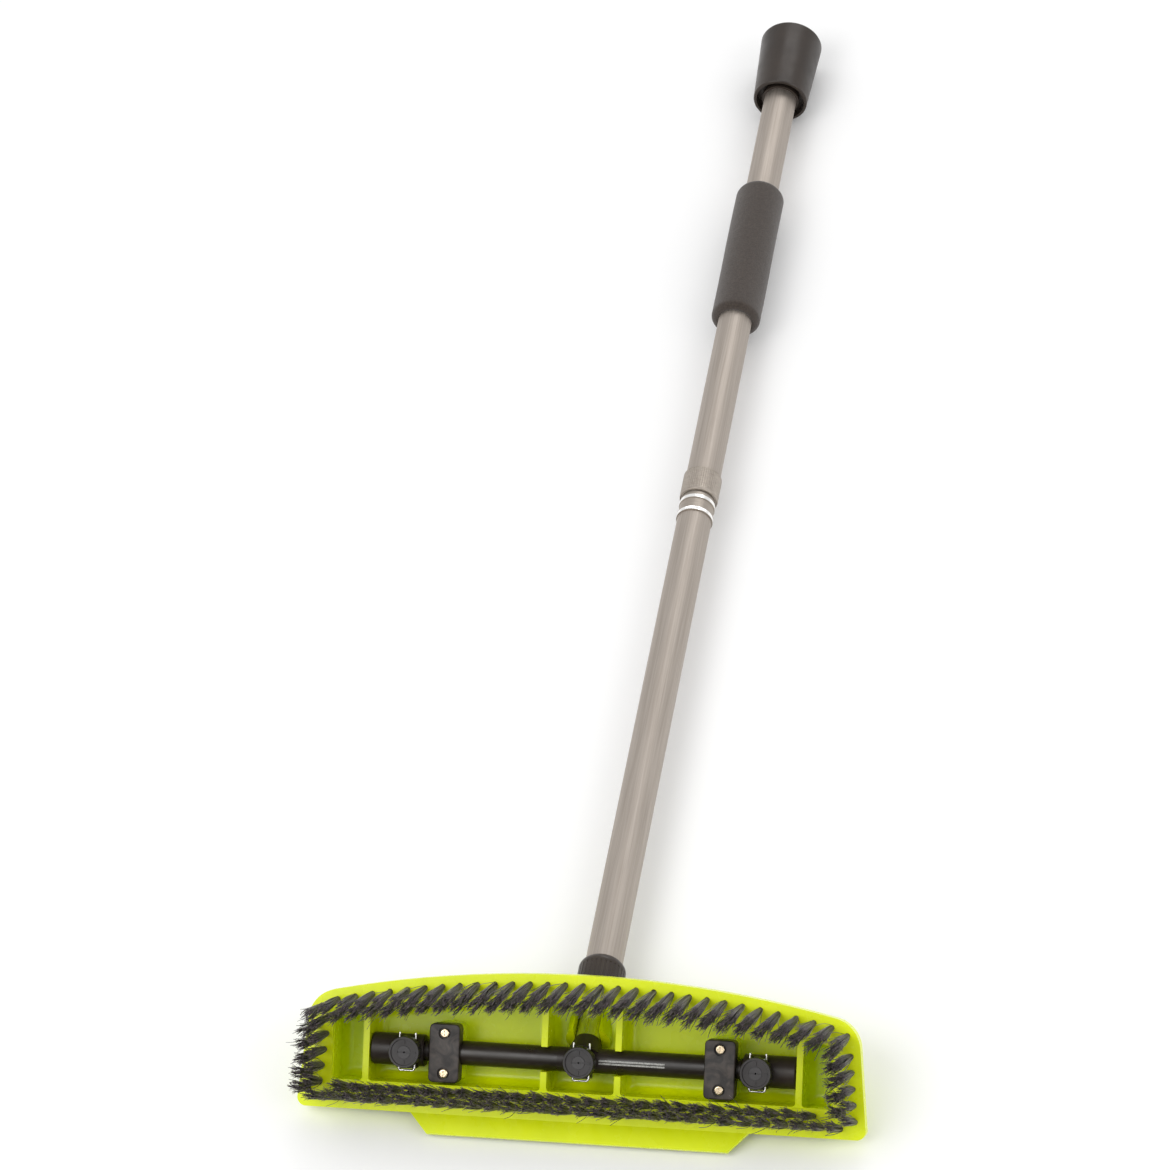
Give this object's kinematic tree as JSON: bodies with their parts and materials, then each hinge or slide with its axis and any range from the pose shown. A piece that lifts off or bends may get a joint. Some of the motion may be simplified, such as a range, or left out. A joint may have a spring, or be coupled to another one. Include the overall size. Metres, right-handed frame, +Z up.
{
  "type": "snow brush scraper",
  "caption": "Flow-through brush head with a scraper lip and spray bar on a two-piece tubular pole with foam grip and hose inlet.",
  "frame": {"origin": "on the floor under the middle of the whole tool's box, as it lies on the head's back edge and the end cone's rim", "axes": "X along the head, +Y up the pole towards the hose inlet, +Z up with the bristles pointing up and forwards"},
  "size_m": [0.4534, 1.2683, 0.1183],
  "materials": {
    "lime_plastic": "glossy moulded lime green",
    "bristle": "dark grey-brown split filament",
    "anchor_wire": "flat wire",
    "black_plastic": "satin black moulding",
    "bar_tube": "black tube",
    "seal_rubber": "moulded rubber",
    "tip_plastic": "dark grey moulding",
    "cap_plastic": "satin black moulding",
    "clip_steel": "bright spring steel",
    "screw_brass": "yellow passivated steel",
    "feed_aluminium": "bright drawn tube",
    "pole_aluminium": "brushed tube",
    "collar_aluminium": "turned",
    "nut_aluminium": "turned and knurled",
    "foam": "closed-cell foam, fine pores"
  },
  "bodies": {
    "head": {"head_shell": "lime_plastic", "tufts_top_outer": "bristle", "tufts_top_inner": "bristle", "tufts_bottom_outer": "bristle", "tufts_bottom_inner": "bristle", "tufts_left_outer": "bristle", "tufts_left_inner": "bristle", "tufts_right_outer": "bristle", "tufts_right_inner": "bristle", "tuft_anchors": "anchor_wire", "spray_tee": "black_plastic", "end_fitting_left": "black_plastic", "end_fitting_right": "black_plastic", "bar_tube_left": "bar_tube", "bar_tube_right": "bar_tube", "pipe_seal": "seal_rubber", "nozzle_seal_left": "seal_rubber", "nozzle_seal_centre": "seal_rubber", "nozzle_seal_right": "seal_rubber", "coupling_seal": "seal_rubber", "nozzle_body_left": "black_plastic", "nozzle_body_centre": "black_plastic", "nozzle_body_right": "black_plastic", "clamp_plate_left": "black_plastic", "clamp_plate_right": "black_plastic", "clamp_screws": "screw_brass", "feed_pipe": "feed_aluminium", "lower_tube": "pole_aluminium", "pole_plug": "black_plastic", "neck_collet": "black_plastic", "lower_ferrule": "collar_aluminium"},
    "neck_nut": {"neck_nut": "black_plastic"},
    "upper_pole": {"upper_ferrule": "collar_aluminium", "upper_tube": "pole_aluminium", "foam_grip": "foam", "end_cone": "black_plastic", "inlet_adapter": "black_plastic"},
    "coupling_nut": {"coupling_nut": "nut_aluminium"},
    "hose_nut": {"hose_nut": "black_plastic", "hose_washer": "seal_rubber", "inlet_screen": "clip_steel"},
    "cap_left": {"nozzle_cap_left": "cap_plastic", "nozzle_tip_left": "tip_plastic", "nozzle_gasket_left": "seal_rubber"},
    "clip_left": {"nozzle_clip_left": "clip_steel"},
    "cap_centre": {"nozzle_cap_centre": "cap_plastic", "nozzle_tip_centre": "tip_plastic", "nozzle_gasket_centre": "seal_rubber"},
    "clip_centre": {"nozzle_clip_centre": "clip_steel"},
    "cap_right": {"nozzle_cap_right": "cap_plastic", "nozzle_tip_right": "tip_plastic", "nozzle_gasket_right": "seal_rubber"},
    "clip_right": {"nozzle_clip_right": "clip_steel"}
  },
  "joints": [
    {"name": "neck_nut_turn", "type": "hinge", "parent": "head", "child": "neck_nut", "pos_m": [0, -0.48946, 0.03374], "axis": [0, 1, -0.0044], "range_deg": [0, 270]},
    {"name": "pole_pull", "type": "slide", "parent": "head", "child": "upper_pole", "axis": [0, 1, -0.0044], "range_m": [0, 0.07]},
    {"name": "coupling_turn", "type": "hinge", "parent": "upper_pole", "child": "coupling_nut", "pos_m": [0, 0.05154, 0.03139], "axis": [0, 1, -0.0044], "continuous": true},
    {"name": "hose_nut_swivel", "type": "hinge", "parent": "upper_pole", "child": "hose_nut", "pos_m": [0, 0.60653, 0.02896], "axis": [0, 1, -0.0044], "continuous": true},
    {"name": "cap_left_turn", "type": "hinge", "parent": "head", "child": "cap_left", "pos_m": [-0.14, -0.57644, 0.0475], "axis": [0, -0.6659, 0.7461], "range_deg": [0, 90]},
    {"name": "clip_left_pull", "type": "slide", "parent": "head", "child": "clip_left", "axis": [0, -0.7461, -0.6659], "range_m": [0, 0.008]},
    {"name": "cap_centre_turn", "type": "hinge", "parent": "head", "child": "cap_centre", "pos_m": [0, -0.57644, 0.0475], "axis": [0, -0.6659, 0.7461], "range_deg": [0, 90]},
    {"name": "clip_centre_pull", "type": "slide", "parent": "head", "child": "clip_centre", "axis": [0, -0.7461, -0.6659], "range_m": [0, 0.008]},
    {"name": "cap_right_turn", "type": "hinge", "parent": "head", "child": "cap_right", "pos_m": [0.14, -0.57644, 0.0475], "axis": [0, -0.6659, 0.7461], "range_deg": [0, 90]},
    {"name": "clip_right_pull", "type": "slide", "parent": "head", "child": "clip_right", "axis": [0, -0.7461, -0.6659], "range_m": [0, 0.008]}
  ]
}
